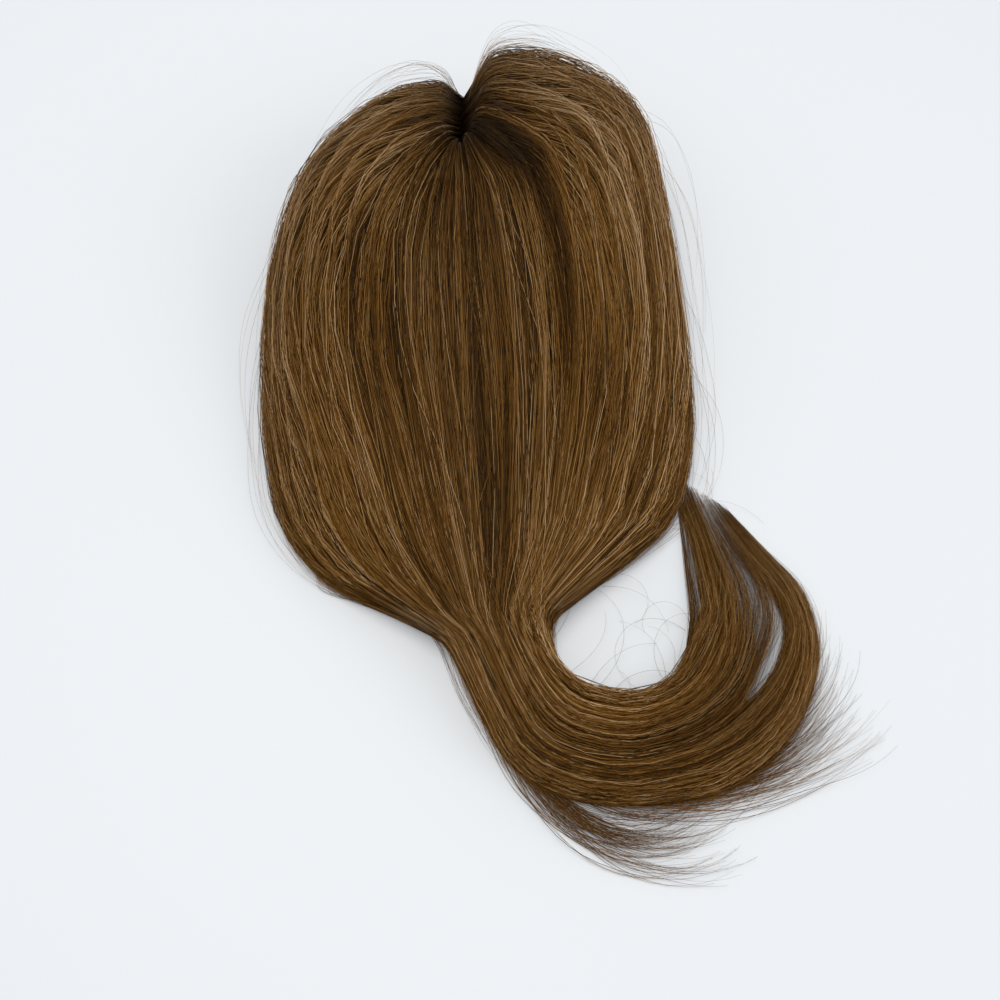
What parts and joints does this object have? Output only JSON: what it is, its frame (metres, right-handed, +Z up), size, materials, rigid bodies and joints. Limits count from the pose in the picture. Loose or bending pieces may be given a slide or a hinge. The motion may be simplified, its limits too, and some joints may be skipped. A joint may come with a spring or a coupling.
{
  "type": "hair topper",
  "caption": "Clip-in hair topper: a domed base cap under long straight brown hair, parted at the crown, gathered behind and curled round to one side.",
  "frame": {"origin": "on the surface the topper lies on, under the middle of its whole box", "axes": "+Z up from the surface, +Y towards the wearer's forehead, +X to the side that the gathered hair curls to"},
  "size_m": [0.2128, 0.3358, 0.0622],
  "materials": {
    "hair": "fine straight brown fibres with a soft silky sheen, darker at the roots",
    "cap_mesh": "dark brown knitted mesh with a turned hem",
    "clip_metal": "dark grey coated spring steel, satin"
  },
  "bodies": {
    "root": {"base_cap": "cap_mesh", "clip_front": "clip_metal", "clip_back": "clip_metal", "clip_left": "clip_metal", "clip_right": "clip_metal", "hair_left": "hair", "hair_back": "hair", "hair_right": "hair"}
  },
  "joints": []
}
